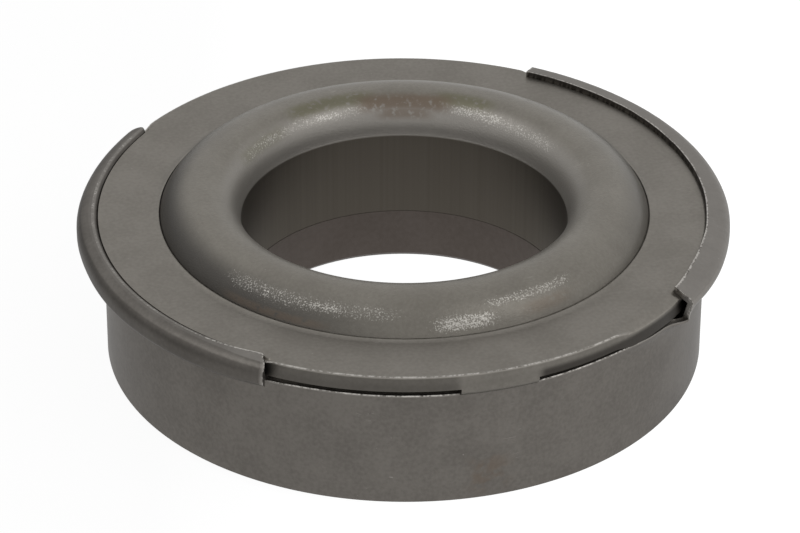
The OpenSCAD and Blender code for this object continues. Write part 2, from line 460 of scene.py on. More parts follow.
def cut_edge(angle):
    """The sheared top of the skirt in a gap between the lips, with a burr on its outer edge."""
    outer = skirt_outside(angle)[-1]
    inner = skirt_inside(angle)[-1]
    burr = 0.1 + 0.06 * jagged(angle, 7.9)
    wear = burr_wear(angle)
    across = Vector(inner[:2]) - Vector(outer[:2])
    spots = [Vector(outer[:2]) + across * share for share in (0.06, 0.28, 0.6)]
    # Towards the right lip's front end the cut edge is painted darker: painted shade in the slit under the
    # plate.
    gap_shade = 0.9 * fading(apart(angle, RIGHT_FRONT), 20)
    return [outer,
            (spots[0].x, spots[0].y + burr, wear),
            (spots[1].x, spots[1].y + 0.3 * burr, 0.7 * wear - gap_shade),
            (spots[2].x, spots[2].y, 0.4 * wear - gap_shade),
            (*inner[:2], -gap_shade)]


END_ROUND = 1.9
END_CORE_R = 48.3


def back_end(angle):
    """From 0 to 1 over the last stretch of the left lip's back end."""
    along = math.radians(apart(angle, LEFT_BACK)) * COVER_R
    return 1 - min(1.0, along / END_ROUND) if -0.01 < along < END_ROUND else 0.0


def finger_end(angle, section):
    """Round the left lip's back end off like a fingertip."""
    shrink = math.sqrt(max(0.0, 1 - back_end(angle) ** 2))
    shaped = []
    for r, z, wear in section:
        share = smooth(LIP_FLOOR_Z + 0.6, COVER_TOP_Z - 0.6, z) * (1 - shrink)
        shaped.append((r + (END_CORE_R - r) * share * 0.9, z - share * (z - LIP_FLOOR_Z) * 0.12, wear))
    return shaped


def wall_steps(angle):
    """Shares of the rise from the slit's height to the top of a lip's wall."""
    cut = cut_share(angle)
    return [cut + (1 - cut) * i / LIP_RISE_STEPS for i in range(LIP_RISE_STEPS + 1)]


def lip_outside(angle):
    """Outer side of a lip's sheet, from the slit's height round to its tip."""
    lip, _ = nearest_lip(angle)
    upward = 90 - math.degrees(lip.slope)
    tip = (lip.tip_r + lip.tip_round,
           lip.tip_z - lip.tip_round * (1 + math.sin(lip.slope)) / math.cos(lip.slope))
    front = fading(apart(angle, LEFT_FRONT), 8)
    crest_wear = 0.2 + 0.35 * front if lip.left else 0.6
    # The left lip's outer side is painted darker: painted shade. The right lip's is made lighter.
    outer_tone = -0.34 if lip.left else 0.45
    torn = 0.9 * fading(lip.to_end, 0.35) * (1 - back_end(angle))
    section = chain(
        [(*rise(angle, t), outer_tone) for t in wall_steps(angle)],
        arc(lip.bend, lip.bend_r, 0, upward * 0.6, 7, outer_tone),
        arc(lip.bend, lip.bend_r, upward * 0.6, upward, 6, 0.1 if lip.left else crest_wear),
        line(on_arc(lip.bend, lip.bend_r, upward), on_arc(tip, lip.tip_round, upward), 8, crest_wear),
        arc(tip, lip.tip_round, upward, 110, 3, 0.7 + 0.7 * front if lip.left else 1.2),
        # The tip's underside is painted dark: painted shade where it meets the plate.
        arc(tip, lip.tip_round, 110, 180, 4, -0.25 if lip.left else -0.6),
    )
    return finger_end(angle, [(r, z, max(wear, torn) if torn > 0.05 else wear) for r, z, wear in section])


def lip_inside(angle):
    """Inner side of the sheet, with as many points as the outer."""
    lip, _ = nearest_lip(angle)
    upward = 90 - math.degrees(lip.slope)
    tip_end = (lip.tip_r, lip.underside(lip.tip_r))
    torn = 0.45 * fading(lip.to_end, 0.35) * (1 - back_end(angle))
    section = chain(
        [(*rise_inside(angle, t), torn) for t in wall_steps(angle)],
        arc(lip.bend, lip.bend_r - SHEET, 0, upward, 13, torn),
        line(on_arc(lip.bend, lip.bend_r - SHEET, upward), tip_end, 15, torn),
    )
    return finger_end(angle, section)


def lip_tip(angle):
    """The sheared end of the sheet, painted dark down to where it sits on the plate: painted shade."""
    r, z, _ = lip_inside(angle)[-1]
    return [lip_outside(angle)[-1], (r, z, -0.9)]


def askew(angle, radius):
    """The left lip's front end was sheared askew, so that its wall runs on past its tip."""
    inside = -apart(angle, LEFT_FRONT)
    if inside < -0.01 or inside > 20:
        return 0.0
    return math.radians(1.4) * smooth(47.3, 49.6, radius) * fading(inside, 3)


def pressed_housing():
    pressing = Pressing(askew)
    for span in LIP_SPANS + GAP_SPANS:
        angles = columns(*span, FINE_COLUMN)
        for section_at in (skirt_outside, skirt_inside, skirt_foot):
            pressing.strip(angles, section_at)
    for span in GAP_SPANS:
        pressing.strip(columns(*span, FINE_COLUMN), cut_edge)
    for span in LIP_SPANS:
        angles = columns(*span, FINE_COLUMN)
        for section_at in (lip_outside, lip_inside, lip_tip):
            pressing.strip(angles, section_at)
        for angle in span:
            pressing.cap(angle, lip_outside(angle), lip_inside(angle))
    for angle in LIP_ENDS:
        pressing.cap(angle, cut_edge(angle)[:4], [skirt_outside(angle)[-1]] * 3 + [skirt_inside(angle)[-1]])
    return pressing.finish("pressed_housing", "stator", "housing_steel", "housing")


# Cover plate
SEAT_GAP = 0.04
CRUSH_FADE = 1.6
GRIP_R = 45.8
BENT_DROP = 0.9
BENT_FLOOR_DROP = 0.8
RIM_INSET = 0.02
# Dark colour on the plate's feet below the rim: painted shade
FOOT_SHADE = -0.36


def crushed(angle, radius):
    """Height of the plate's top, which the lips have pushed down where they grip its rim."""
    lip, past = nearest_lip(angle)
    if radius < lip.tip_r - 0.02:
        return COVER_TOP_Z
    pushed = min(COVER_TOP_Z, lip.underside(min(radius, lip.wall_r - SHEET)) - SEAT_GAP)
    return COVER_TOP_Z - (COVER_TOP_Z - pushed) * fading(past, CRUSH_FADE)


def held_down(angle, radius, height):
    """Height of a place on the plate's top, lower where the rim is bent or gripped by a lip."""
    if radius <= GRIP_R:
        return height
    bent = BENT_DROP * bent_edge(angle) * smooth(GRIP_R, COVER_R + 0.6, radius)
    return min(height - bent, crushed(angle, radius))


def plate_top(angle):
    """Upper side of the plate: the hole, the bead round it, the flat, and the rim with its burr."""
    bent = bent_edge(angle)
    burr = (0.03 + 0.03 * jagged(angle, 6.1)) * (1 - bent)
    edge = 0.3 * RIM_BEVEL
    shares = (0, 0.12, 0.3, 0.5, 0.7, 0.88, 1)
    bead = [(COVER_HOLE_R + LOW_BEAD_W * x, COVER_TOP_Z + LOW_BEAD_H * math.sin(math.pi * x) ** 0.6, 0.1)
            for x in shares]
    section = chain(
        line((COVER_HOLE_R, COVER_Z), (COVER_HOLE_R, COVER_TOP_Z), 3),
        bead,
        line((COVER_HOLE_R + LOW_BEAD_W, COVER_TOP_Z), (GRIP_R, COVER_TOP_Z), 8),
        line((GRIP_R, COVER_TOP_Z), (COVER_R - RIM_BEVEL, COVER_TOP_Z), 9),
        line((COVER_R - RIM_BEVEL, COVER_TOP_Z + burr), (COVER_R - edge, COVER_TOP_Z - edge), 1, 1 - bent),
    )
    return [(r, held_down(angle, r, z), wear) for r, z, wear in section]


def bent_edge(angle):
    """From 0 to 1 where the plate's rim was bent down and smoothed beside the right lip's front end."""
    past = -apart(angle, RIGHT_FRONT)
    return smooth(20, 14, past) if past > 0 else fading(past, 2)


def plate_rim(angle):
    """The sheared edge of the plate, from its upper edge down, painted darker towards its foot: painted
    shade.
    """
    top = plate_top(angle)[-1]
    waver = 0.03 * jagged(angle, 2.2)
    low = (COVER_R - RIM_INSET, COVER_Z - BENT_FLOOR_DROP * bent_edge(angle))
    face = line((COVER_R - 3 * RIM_INSET + waver, top[1] - 1.6 * RIM_BEVEL), low, 7)
    upper, lower = rim_darkening(angle)
    return [top, (COVER_R - RIM_INSET, top[1] - 0.7 * RIM_BEVEL, 0.2 * top[2])] + [
        (r, z, -upper - (lower - upper) * smooth(COVER_TOP_Z - 0.9, COVER_Z + 0.7, z)) for r, z, _ in face]


def rim_darkening(angle):
    """How dark the plate's edge is painted at its top and at its foot: the darker foot is painted shade, most
    of all at the right of the front gap.
    """
    foot = max(smooth(8.5, 6.5, abs(apart(angle, middle))) for middle in (-math.pi / 2, math.pi / 2))
    right = smooth(-95, -82, apart(angle, 0))
    upper = 0.6 - 0.2 * right - 0.25 * bent_edge(angle)
    lower = 0.68 + 0.24 * right
    return upper + (0.36 - upper) * foot, lower + (0.4 - lower) * foot


def slit_edge(side):
    """Where the housing's cut edge meets the plate's feet."""
    rise_at = -math.pi / 2
    r, _ = side(rise_at, cut_share(rise_at))
    return r, SLIT_Z


def plate_floor(angle):
    """Underside of the plate, from its hole to the line of the skirt's inner side."""
    return [(COVER_HOLE_R, COVER_Z, 0.0), (slit_edge(rise_inside)[0], COVER_Z, 0.0)]


def bare_floor(angle):
    """Underside from there to the rim, where no foot stands."""
    return [plate_floor(angle)[1], plate_rim(angle)[-1]]


def foot_outside(angle):
    """The foot's face stays upright below the rim, and then turns in to the cut edge; it is painted dark:
    painted shade below the rim.
    """
    (top_r, top_z, _), (low_r, low_z) = plate_rim(angle)[-1], slit_edge(rise)
    return [(top_r + (low_r - top_r) * share ** 3, top_z + (low_z - top_z) * share, FOOT_SHADE)
            for share in (0, 0.25, 0.5, 0.7, 0.85, 1)]


def foot_inside(angle):
    """The foot's inner face, with as many points as the outer."""
    inner = plate_floor(angle)[1]
    return line(inner, (inner[0], SLIT_Z), 5)


def foot_sole(angle):
    return [foot_outside(angle)[-1], foot_inside(angle)[-1]]


def cover_plate():
    pressing = Pressing()
    for span in FOOT_SPANS + BARE_SPANS:
        angles = columns(*span, FINE_COLUMN)
        for section_at in (plate_top, plate_rim, plate_floor):
            pressing.strip(angles, section_at)
    for span in BARE_SPANS:
        pressing.strip(columns(*span, FINE_COLUMN), bare_floor)
    for span in FOOT_SPANS:
        angles = columns(*span, FINE_COLUMN)
        for section_at in (foot_outside, foot_inside, foot_sole):
            pressing.strip(angles, section_at)
        for angle in span:
            pressing.cap(angle, foot_outside(angle), foot_inside(angle))
    return pressing.finish("cover_plate_dressed", "stator", "plate_steel", "cover_plate")


# Rings
def whole_ring(section, name, body, slot, node_name):
    """A closed section swept once round the axis."""
    pressing = Pressing()
    pressing.strip(columns(0, TURN, RING_COLUMN), lambda angle: section + section[:1])
    return pressing.finish(name, body, slot, node_name)


def grooved_face(face_z, inner_r, outer_r):
    """A race's face from its inner to its outer edge, with the ball groove in it."""
    half = math.degrees(math.asin((face_z - BALL_Z) / GROOVE_R))
    end = half if face_z > BALL_Z else 360 + half
    groove = arc((BALL_CIRCLE_R, BALL_Z), GROOVE_R, 180 - half, end, 16)
    return [(inner_r, face_z, 0.0), *groove, (outer_r, face_z, 0.0)]


def nose_ring():
    """The dome over its bore, the neck, and the flange with the upper ball groove."""
    bore_r = NOSE_BORE_R - BORE_SKIN
    neck_r = NECK_R + NECK_SKIN
    foot_z = COLLAR_Z + SEAM_GAP
    inner_run = CREST_R - bore_r
    inside = [(CREST_R + inner_run * math.cos(turn), NOSE_TOP_Z - INNER_DROP * (1 - math.sin(turn)), 0.0)
              for turn in columns(math.pi, math.pi / 2, math.radians(3))]
    crest_out = (CREST_R + CREST_W, NOSE_TOP_Z - DOME_R)
    foot_deg = math.degrees(math.acos((neck_r - crest_out[0]) / DOME_R))
    flank = arc(crest_out, DOME_R, 90, foot_deg, 32)
    collar_r = RACE_BORE_R + COLLAR_W
    section = chain(
        line((bore_r, foot_z), (bore_r, NOSE_TOP_Z - INNER_DROP), 10),
        inside,
        line((CREST_R, NOSE_TOP_Z), (crest_out[0], NOSE_TOP_Z), 1),
        flank,
        line((neck_r, flank[-1][1]), (neck_r, FLANGE_Z), 3),
        line((neck_r, FLANGE_Z), (FLANGE_R, FLANGE_Z), 2),
        line((FLANGE_R, FLANGE_Z), (FLANGE_R, NOSE_FACE_Z), 2),
        grooved_face(NOSE_FACE_Z, collar_r, FLANGE_R)[::-1],
        line((collar_r, NOSE_FACE_Z), (collar_r, foot_z), 1),
        line((collar_r, foot_z), (bore_r, foot_z), 1)[:-1],
    )
    return whole_ring(section, "nose_ring_dressed", "rotor", "ring_steel", "nose_ring")


def fixed_race():
    """The lower ring, with its bevelled bore, its groove and the seat face below."""
    collar_r = RACE_BORE_R + COLLAR_W
    seat_r = SKIRT_IN_R - SEAT_INSET
    section = chain(
        line((RACE_BORE_R + BORE_BEVEL, 0), (RACE_BORE_R, BORE_BEVEL), 2),
        line((RACE_BORE_R, BORE_BEVEL), (RACE_BORE_R, COLLAR_Z), 6),
        line((RACE_BORE_R, COLLAR_Z), (collar_r, COLLAR_Z), 1),
        line((collar_r, COLLAR_Z), (collar_r, RACE_FACE_Z), 1),
        grooved_face(RACE_FACE_Z, collar_r, SKIRT_IN_R),
        line((SKIRT_IN_R, RACE_FACE_Z), (SKIRT_IN_R, FOOT_Z), 2),
        line((SKIRT_IN_R, FOOT_Z), (seat_r, FOOT_Z), 2),
        line((seat_r, FOOT_Z), (seat_r, 0), 1),
    )
    return whole_ring(section, "fixed_race_dressed", "stator", "race_steel", "fixed_race")


housing = pressed_housing()
plate = cover_plate()
nose = nose_ring()
race = fixed_race()


# Shader nodes
def add(tree, kind, inputs=None, **settings):
    """A shader node with its settings, and its inputs given as values or as other nodes' outputs."""
    made = tree.nodes.new("ShaderNode" + kind)
    for name, value in settings.items():
        setattr(made, name, value)
    fill(tree, made, inputs or {})
    return made


def fill(tree, made, inputs):
    """Link or set a node's inputs."""
    for name, value in inputs.items():
        if isinstance(value, bpy.types.NodeSocket):
            tree.links.new(value, made.inputs[name])
        else:
            made.inputs[name].default_value = value


def maths(tree, operation, first, second=0.0, clamp=False):
    return add(tree, "Math", {0: first, 1: second}, operation=operation, use_clamp=clamp).outputs[0]


def ramp(tree, value, low, high):
    """0 at low, 1 at high, with a smooth change between them."""
    inputs = {"Value": value, "From Min": low, "From Max": high}
    return add(tree, "MapRange", inputs, interpolation_type="SMOOTHSTEP").outputs["Result"]


def scaled(tree, value, factor):
    return maths(tree, "MULTIPLY", value, factor)


def slope(tree, value, low, high, start, end):
    """A steady change from start, at low, to end, at high."""
    inputs = {"Value": value, "From Min": low, "From Max": high, "To Min": start, "To Max": end}
    return add(tree, "MapRange", inputs).outputs["Result"]


def vectors(tree, operation, first, second):
    """A number made of two vectors: their dot product or their distance."""
    return add(tree, "VectorMath", {0: first, 1: second}, operation=operation).outputs["Value"]


def mix(tree, share, first, second):
    """First colour at share 0, second at 1."""
    return add(tree, "Mix", {0: share, 6: first, 7: second}, data_type="RGBA").outputs[2]


def cloud(tree, place, scale, detail=3.0):
    """Noise from 0 to 1 with this many features to the millimetre."""
    return add(tree, "TexNoise", {"Vector": place, "Scale": scale, "Detail": detail}).outputs["Fac"]


def group(name, inputs, outputs):
    """A new node group with named sockets, and its two end nodes."""
    tree = bpy.data.node_groups.new(name, "ShaderNodeTree")
    for side, sockets in (("INPUT", inputs), ("OUTPUT", outputs)):
        for socket, kind in sockets.items():
            tree.interface.new_socket(socket, in_out=side, socket_type="NodeSocket" + kind)
    return tree, tree.nodes.new("NodeGroupInput").outputs, tree.nodes.new("NodeGroupOutput")


def use(tree, group_tree, **inputs):
    """Place a node group, and give its outputs."""
    made = tree.nodes.new("ShaderNodeGroup")
    made.node_tree = group_tree
    fill(tree, made, inputs)
    return made.outputs


def ring_place_group():
    """Place in millimetres, direction from the axis, (radius, height) in a section, angle in degrees."""
    tree, _, out = group("ring_place", {}, {"Place": "Vector", "Round": "Vector", "Section": "Vector",
                                            "Angle": "Float"})
    metres = add(tree, "TexCoord").outputs["Object"]
    place = add(tree, "VectorMath", {0: metres, "Scale": 1 / MM}, operation="SCALE").outputs[0]
    flat = add(tree, "VectorMath", {0: place, 1: (1, 1, 0)}, operation="MULTIPLY").outputs[0]
    parts = add(tree, "SeparateXYZ", {0: place}).outputs
    radius = add(tree, "VectorMath", {0: flat}, operation="LENGTH").outputs["Value"]
    fill(tree, out, {
        "Place": place,
        "Round": add(tree, "VectorMath", {0: flat}, operation="NORMALIZE").outputs[0],
        "Section": add(tree, "CombineXYZ", {0: radius, 1: parts["Z"]}).outputs[0],
        "Angle": maths(tree, "MULTIPLY", maths(tree, "ARCTAN2", parts["Y"], parts["X"]), 360 / TURN),
    })
    return tree


def steel_grain_group():
    """Fine and broad mottling of a coated steel face."""
    tree, given, out = group("steel_grain", {"Place": "Vector", "Size": "Float"},
                             {"Tone": "Float", "Height": "Float"})
    scale = maths(tree, "DIVIDE", 1.0, given["Size"])
    fine = cloud(tree, given["Place"], scale)
    broad = cloud(tree, given["Place"], scaled(tree, scale, 0.08))
    spread = maths(tree, "ADD", scaled(tree, fine, 0.5), scaled(tree, broad, 0.5))
    fill(tree, out, {"Tone": ramp(tree, spread, 0.3, 0.7), "Height": fine})
    return tree


def bare_edges_group():
    """Masks of bright metal on worn edges, broken up along them, of rubbed steel, and of painted shade where
    the wear is below 0.
    """
    tree, given, out = group("bare_edges", {"Place": "Vector"},
                             {"Mask": "Float", "Rubbed": "Float", "Grime": "Float"})
    wear = add(tree, "Attribute", attribute_name="edge_wear").outputs["Fac"]
    chips = maths(tree, "SUBTRACT", cloud(tree, given["Place"], 2.4), 0.5)
    runs = maths(tree, "SUBTRACT", cloud(tree, given["Place"], 0.25), 0.5)
    broken = maths(tree, "ADD", scaled(tree, chips, 2.6), scaled(tree, runs, 1.6))
    level = maths(tree, "ADD", wear, scaled(tree, broken, ramp(tree, wear, 0.4, 0.9)))
    cloudy = maths(tree, "MAXIMUM", maths(tree, "ADD", wear, scaled(tree, runs, 0.3)), 0.0)
    lost = scaled(tree, ramp(tree, wear, 0.6, 0.9), ramp(tree, level, 1.0, 0.5))
    rubbed = maths(tree, "MULTIPLY", ramp(tree, wear, 0.0, 0.2), cloudy, clamp=True)
    fill(tree, out, {
        "Mask": ramp(tree, level, 0.75, 1.35),
        "Rubbed": scaled(tree, rubbed, maths(tree, "SUBTRACT", 1.0, lost)),
        "Grime": maths(tree, "MULTIPLY", wear, -1.0, clamp=True),
    })
    return tree


def scratches_group():
    """Mask of short light scratches and specks."""
    tree, given, out = group("scratches", {"Place": "Vector"}, {"Mask": "Float"})
    drawn_out = add(tree, "Mapping", {"Vector": given["Place"], "Rotation": (0.4, 0.3, 0.7),
                                      "Scale": (0.03, 1.6, 1.6)})
    lines = cloud(tree, drawn_out.outputs[0], 1.0, 1.0)
    thin = ramp(tree, maths(tree, "ABSOLUTE", maths(tree, "SUBTRACT", lines, 0.5)), 0.012, 0.003)
    where = ramp(tree, cloud(tree, given["Place"], 0.2, 2.0), 0.66, 0.74)
    specks = ramp(tree, cloud(tree, given["Place"], 1.3, 1.0), 0.8, 0.84)
    fill(tree, out, {"Mask": maths(tree, "MAXIMUM", scaled(tree, thin, where), specks)})
    return tree


def stains_group():
    """Mask of soft patches; Start is how much of the face stays clean."""
    tree, given, out = group("stains", {"Place": "Vector", "Size": "Float", "Start": "Float"},
                             {"Mask": "Float"})
    patches = cloud(tree, given["Place"], maths(tree, "DIVIDE", 1.0, given["Size"]), 4.0)
    fill(tree, out, {"Mask": ramp(tree, patches, given["Start"], maths(tree, "ADD", given["Start"], 0.2))})
    return tree


def turning_streaks_group():
    """Streaks along a bore, which differ round the axis."""
    tree, given, out = group("turning_streaks", {"Round": "Vector"}, {"Tone": "Float"})
    spread = add(tree, "VectorMath", {0: given["Round"], "Scale": 40.0}, operation="SCALE").outputs[0]
    fill(tree, out, {"Tone": cloud(tree, spread, 1.0)})
    return tree


def coated_steel_group():
    """Mottled coat with worn edges, scratches and painted shade: its colour, the bare mask and the grain's
    height.
    """
    tree, given, out = group("coated_steel",
                             {"Place": "Vector", "Dark": "Color", "Light": "Color", "Size": "Float"},
                             {"Color": "Color", "Bare": "Float", "Height": "Float"})
    grain = use(tree, STEEL_GRAIN, Place=given["Place"], Size=given["Size"])
    coat = mix(tree, grain["Tone"], given["Dark"], given["Light"])
    scratched = scaled(tree, use(tree, SCRATCHES, Place=given["Place"])["Mask"], 0.25)
    edges = use(tree, BARE_EDGES, Place=given["Place"])
    coat = mix(tree, scratched, coat, BARE_STEEL)
    coat = mix(tree, scaled(tree, edges["Rubbed"], 0.8), coat, RUBBED_STEEL_AND_PAINTED_LIGHT)
    coat = mix(tree, edges["Mask"], coat, BARE_STEEL)
    fill(tree, out, {"Color": mix(tree, edges["Grime"], coat, PAINTED_SHADE), "Bare": edges["Mask"],
                     "Height": grain["Height"]})
    return tree


BARE_STEEL = (0.47, 0.45, 0.42, 1)
# Rubbed steel; also painted light on the nose's inner side
RUBBED_STEEL_AND_PAINTED_LIGHT = (0.3, 0.285, 0.265, 1)
RUST = (0.122, 0.088, 0.062, 1)
DULL_EDGE = (0.75, 0.75, 0.75, 1)
# Colour of painted highlights on the nose's glints
PAINTED_GLINT = (0.55, 0.53, 0.49, 1)
OLIVE = (0.125, 0.118, 0.075, 1)
# Colour of painted shade
PAINTED_SHADE = (0.03, 0.027, 0.024, 1)

# Darkest and lightest tone of each finish
SHEET_TONES = ((0.113, 0.104, 0.094, 1), (0.148, 0.137, 0.124, 1))
PLATE_TONES = ((0.188, 0.175, 0.155, 1), (0.232, 0.217, 0.194, 1))
DOME_TONES = ((0.153, 0.141, 0.121, 1), (0.19, 0.177, 0.153, 1))
# The two bores' tones are dark: partly their own oily turned finish, partly painted shade inside the bore.
NOSE_BORE_TONES = ((0.073, 0.064, 0.053, 1), (0.096, 0.086, 0.072, 1))
RACE_TONES = ((0.075, 0.063, 0.055, 1), (0.105, 0.09, 0.081, 1))
CAGE_TONES = ((0.52, 0.46, 0.34, 1), (0.62, 0.56, 0.43, 1))
SEAL_TONES = ((0.012, 0.012, 0.012, 1), (0.03, 0.029, 0.028, 1))
BALL_TONES = ((0.6, 0.6, 0.61, 1), (0.68, 0.68, 0.69, 1))

RING_PLACE = ring_place_group()
STEEL_GRAIN = steel_grain_group()
BARE_EDGES = bare_edges_group()
SCRATCHES = scratches_group()
STAINS = stains_group()
TURNING_STREAKS = turning_streaks_group()
COATED_STEEL = coated_steel_group()


def begin(name):
    """A new material, its tree, its shader, and the place on the ring."""
    material = bpy.data.materials.new(name)
    material.use_nodes = True
    tree = material.node_tree
    return material, tree, tree.nodes["Principled BSDF"], use(tree, RING_PLACE)


def near_spot(tree, place, spot, reach):
    """1 at a spot in millimetres, fading to 0 at its reach."""
    return ramp(tree, vectors(tree, "DISTANCE", place, spot), reach, 0.25 * reach)


def ring_spot(radius, degrees, height):
    """A place on the ring."""
    turn = math.radians(degrees)
    return radius * math.cos(turn), radius * math.sin(turn), height


def coated_steel(tree, ring, tones, size):
    """The coat in its darkest and lightest tone, with grains of this size."""
    return use(tree, COATED_STEEL, Place=ring["Place"], Dark=tones[0], Light=tones[1], Size=size)


def bump(tree, height, distance):
    """Normals of a relief that is this many millimetres deep."""
    return add(tree, "Bump", {"Height": height, "Distance": distance * MM, "Strength": 1.0}).outputs[0]


def phosphated_sheet():
    """The housing's pressed sheet."""
    material, tree, shader, ring = begin("phosphated_sheet")
    coat = coated_steel(tree, ring, SHEET_TONES, 0.6)
    smear = near_spot(tree, ring["Place"], ring_spot(SKIRT_R, -91.5, 5.5), 5.0)
    patchy = use(tree, STAINS, Place=ring["Place"], Size=2.5, Start=0.42)["Mask"]
    rusty = scaled(tree, scaled(tree, smear, patchy), 0.4)
    fill(tree, shader, {
        "Base Color": mix(tree, rusty, coat["Color"], RUST), "Metallic": 1.0, "Specular Tint": DULL_EDGE,
        "Roughness": maths(tree, "SUBTRACT", 0.44, scaled(tree, coat["Bare"], 0.1)),
        "Normal": bump(tree, coat["Height"], 0.012),
    })
    return material


def phosphated_plate():
    """The cover plate, a little lighter."""
    material, tree, shader, ring = begin("phosphated_plate")
    coat = coated_steel(tree, ring, PLATE_TONES, 0.6)
    fill(tree, shader, {
        "Base Color": coat["Color"], "Metallic": 1.0, "Specular Tint": DULL_EDGE,
        "Roughness": maths(tree, "SUBTRACT", 0.42, scaled(tree, coat["Bare"], 0.1)),
        "Normal": bump(tree, coat["Height"], 0.01),
    })
    return material


# Stretches of the nose as (radius, height, from and to degrees, width, strength), in millimetres
# The glints are painted highlights along the dome where the softboxes' highlights fall; the stains are the
# ring's own.
GLINTS = [(36.4, 25.6, -101, -85, 2.0, 1.1), (34.7, 27.1, -88, -62, 1.4, 0.85),
          (35.2, 26.8, -155, -108, 2.2, 0.7), (35.2, 26.8, -133, -120, 1.4, 0.9),
          (26.6, 26.6, 93, 107, 1.0, 0.95), (26.6, 26.6, 86, 140, 1.8, 0.7),
          (26.8, 26.8, 36, 58, 1.6, 0.92), (26.6, 26.6, 12, 50, 2.0, 0.74)]
BROWN_STAINS = [(27.4, 27.3, 58, 88, 2.2, 0.8), (26.2, 26, 64, 82, 1.5, 0.6),
                (37, 24.7, -152, -126, 0.9, 0.4), (36.4, 25.6, -78, -66, 1.5, 0.35)]
OLIVE_STAINS = [(28.3, 28, 84, 112, 2.0, 0.8), (28.2, 27.9, 44, 62, 2.0, 0.8),
                (26.6, 26.6, 118, 142, 1.6, 0.5)]
FADE_DEG = 4


def along_ring(tree, ring, stretches):
    """How strongly a place lies on any of these stretches of the ring."""
    total = 0.0
    for radius, height, start, end, width, strength in stretches:
        off = vectors(tree, "DISTANCE", ring["Section"], (radius, height, 0))
        begun = ramp(tree, ring["Angle"], start - FADE_DEG, start + FADE_DEG)
        not_ended = ramp(tree, ring["Angle"], end + FADE_DEG, end - FADE_DEG)
        span = scaled(tree, begun, not_ended)
        here = scaled(tree, scaled(tree, ramp(tree, off, width, 0.2 * width), span), strength)
        total = maths(tree, "MAXIMUM", here, total)
    return total


def forged_nose():
    """The nose ring: a grainy forged dome, stained in places, with glints that are painted highlights,
    painted shade on its outer flank, painted light on its inner side, and a dark turned bore whose darkness
    is partly painted shade.
    """
    material, tree, shader, ring = begin("forged_nose")
    place = ring["Place"]
    section = add(tree, "SeparateXYZ", {0: ring["Section"]}).outputs
    colour = coated_steel(tree, ring, DOME_TONES, 0.5)["Color"]
    # The inner side, towards the bore, is painted lighter: painted light.
    colour = mix(tree, scaled(tree, ramp(tree, section["X"], 28.6, 26.2), 0.55), colour, RUBBED_STEEL_AND_PAINTED_LIGHT)
    # The outer flank is painted darker towards its foot, most on the left and a little all round: painted
    # shade.
    leftward = vectors(tree, "DOT_PRODUCT", ring["Round"], ring_spot(1, -172, 0))
    left_shade = scaled(tree, ramp(tree, leftward, 0.35, 0.95), 0.75)
    right_shade = scaled(tree, ramp(tree, leftward, -0.5, -0.95), 0.36)
    flank_shade = maths(tree, "ADD", maths(tree, "ADD", left_shade, right_shade), 0.08)
    colour = mix(tree, scaled(tree, ramp(tree, section["X"], 32.6, 36.2), flank_shade), colour, PAINTED_SHADE)
    grains = cloud(tree, place, 4.2, 2.0)
    stained = use(tree, STAINS, Place=place, Size=0.9, Start=0.28)["Mask"]
    olive = scaled(tree, along_ring(tree, ring, OLIVE_STAINS), stained)
    brown = scaled(tree, along_ring(tree, ring, BROWN_STAINS), stained)
    colour = mix(tree, brown, mix(tree, olive, colour, OLIVE), RUST)
    # Light flakes are painted in along the glints: painted highlights.
    patches = scaled(tree, cloud(tree, place, 0.7), 0.5)
    glint = scaled(tree, along_ring(tree, ring, GLINTS), maths(tree, "ADD", 0.75, patches))
    level = maths(tree, "ADD", grains, scaled(tree, maths(tree, "SUBTRACT", glint, 1.0), 0.35))
    colour = mix(tree, scaled(tree, ramp(tree, level, 0.38, 0.68), 0.75), colour, PAINTED_GLINT)
    forged = ramp(tree, section["Y"], TURNED_Z - 0.2, TURNED_Z + 0.2)
    bore = mix(tree, use(tree, TURNING_STREAKS, Round=ring["Round"])["Tone"], *NOSE_BORE_TONES)
    fill(tree, shader, {
        "Base Color": mix(tree, forged, bore, colour), "Specular Tint": DULL_EDGE,
        "Metallic": maths(tree, "SUBTRACT", 1.0, scaled(tree, forged, 0.5)),
        "Roughness": maths(tree, "SUBTRACT", 0.46, scaled(tree, forged, 0.12)),
        "Normal": bump(tree, scaled(tree, grains, forged), 0.04),
    })
    return material


def turned_race():
    """The fixed race: a turned bore, dark and slightly brown; its darkness is partly painted shade inside the
    bore.
    """
    material, tree, shader, ring = begin("turned_race")
    grain = use(tree, STEEL_GRAIN, Place=ring["Place"], Size=0.8)
    streaks = use(tree, TURNING_STREAKS, Round=ring["Round"])["Tone"]
    tone = maths(tree, "ADD", scaled(tree, grain["Tone"], 0.5), scaled(tree, streaks, 0.5))
    fill(tree, shader, {
        "Base Color": mix(tree, tone, *RACE_TONES), "Metallic": 1.0, "Specular Tint": DULL_EDGE,
        "Roughness": maths(tree, "ADD", 0.42, scaled(tree, streaks, 0.1)),
        "Normal": bump(tree, grain["Height"], 0.01),
    })
    return material


def moulded_polyamide():
    """The cage."""
    material, tree, shader, ring = begin("moulded_polyamide")
    grain = use(tree, STEEL_GRAIN, Place=ring["Place"], Size=1.5)
    fill(tree, shader, {
        "Base Color": mix(tree, grain["Tone"], *CAGE_TONES),
        "Roughness": maths(tree, "ADD", 0.4, scaled(tree, grain["Tone"], 0.15)),
        "Normal": bump(tree, grain["Height"], 0.01),
    })
    return material


